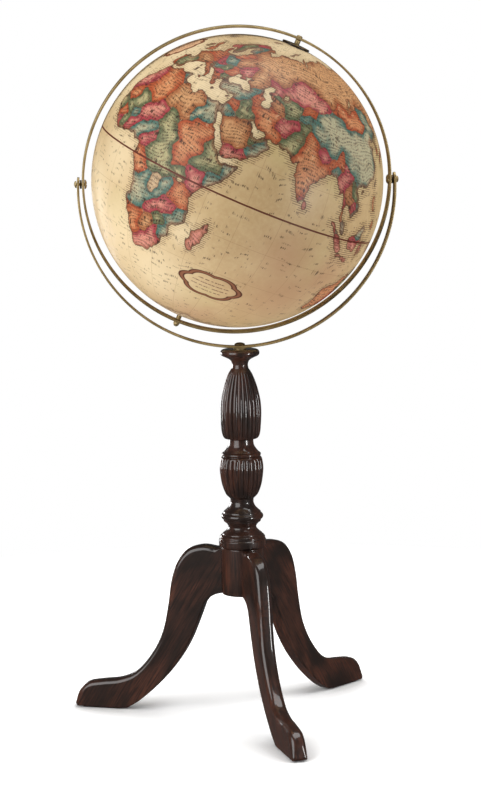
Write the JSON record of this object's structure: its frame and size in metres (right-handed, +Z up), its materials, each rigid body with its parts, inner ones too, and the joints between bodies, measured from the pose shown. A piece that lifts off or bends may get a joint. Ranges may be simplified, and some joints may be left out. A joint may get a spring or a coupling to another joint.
{
  "type": "floor globe",
  "caption": "Floor-standing map globe in a full meridian ring, held by a half-ring cradle on a reeded wooden column with a cabriole-leg tripod.",
  "frame": {"origin": "on the floor, in the middle of the whole object's outline seen from above; the column's axis is at x 8 mm, y 23 mm", "axes": "+Z up the column, +X along the pivots' line towards the side the north pole leans to, -Y towards the viewer of the picture"},
  "size_m": [0.4701, 0.4523, 0.9771],
  "materials": {
    "lacquered_wood": "dark cherry stain under gloss lacquer",
    "antique_brass": "antiqued, satin polish",
    "dark_brass": "darkened",
    "zinc_steel": "zinc plated",
    "dial_enamel": "dark enamel, semi-gloss",
    "map_paper": "printed antique map on pressed board, varnished",
    "pressed_board": "bare",
    "bearing_plastic": "moulded",
    "felt": "pressed felt"
  },
  "bodies": {
    "pedestal": {"column_top": "lacquered_wood", "column_middle": "lacquered_wood", "hub": "lacquered_wood", "leg_front": "lacquered_wood", "leg_right": "lacquered_wood", "leg_left": "lacquered_wood", "foot_pad_front": "felt", "foot_pad_right": "felt", "foot_pad_left": "felt", "dowel_screw": "zinc_steel", "hub_bolt": "zinc_steel", "hub_washer": "zinc_steel", "hub_nut": "zinc_steel", "leg_bolt_front_lower": "zinc_steel", "leg_bolt_front_upper": "zinc_steel", "leg_bolt_right_lower": "zinc_steel", "leg_bolt_right_upper": "zinc_steel", "leg_bolt_left_lower": "zinc_steel", "leg_bolt_left_upper": "zinc_steel", "leg_nut_front_lower": "zinc_steel", "leg_nut_front_upper": "zinc_steel", "leg_nut_right_lower": "zinc_steel", "leg_nut_right_upper": "zinc_steel", "leg_nut_left_lower": "zinc_steel", "leg_nut_left_upper": "zinc_steel", "cap_insert": "antique_brass", "swivel_washer": "antique_brass", "swivel_bolt": "dark_brass"},
    "cradle": {"cradle_ring": "antique_brass", "pivot_screw_right": "antique_brass", "pivot_nut_right": "antique_brass", "pivot_screw_left": "antique_brass", "pivot_nut_left": "antique_brass", "pivot_spacer_right": "dark_brass", "pivot_spacer_left": "dark_brass"},
    "meridian": {"meridian_ring": "antique_brass", "north_pin": "antique_brass", "north_sleeve": "antique_brass", "south_stud": "antique_brass", "south_nut": "antique_brass", "south_sleeve": "antique_brass"},
    "hour_dial": {"hour_dial": "dial_enamel"},
    "globe": {"north_hemisphere": "map_paper", "south_hemisphere": "map_paper", "equator_band": "pressed_board", "north_bushing": "bearing_plastic", "south_bushing": "bearing_plastic"}
  },
  "joints": [
    {"name": "cradle_swivel", "type": "hinge", "parent": "pedestal", "child": "cradle", "pos_m": [0.008, 0.023, 0.5293], "axis": [0, 0, 1], "continuous": true},
    {"name": "meridian_turn", "type": "hinge", "parent": "cradle", "child": "meridian", "pos_m": [0.008, 0.023, 0.762], "axis": [1, 0, 0], "continuous": true},
    {"name": "hour_dial_turn", "type": "hinge", "parent": "meridian", "child": "hour_dial", "pos_m": [0.008, 0.023, 0.762], "axis": [0.3987, -0.1276, 0.9081], "continuous": true},
    {"name": "globe_spin", "type": "hinge", "parent": "meridian", "child": "globe", "pos_m": [0.008, 0.023, 0.762], "axis": [0.3987, -0.1276, 0.9081], "continuous": true}
  ]
}
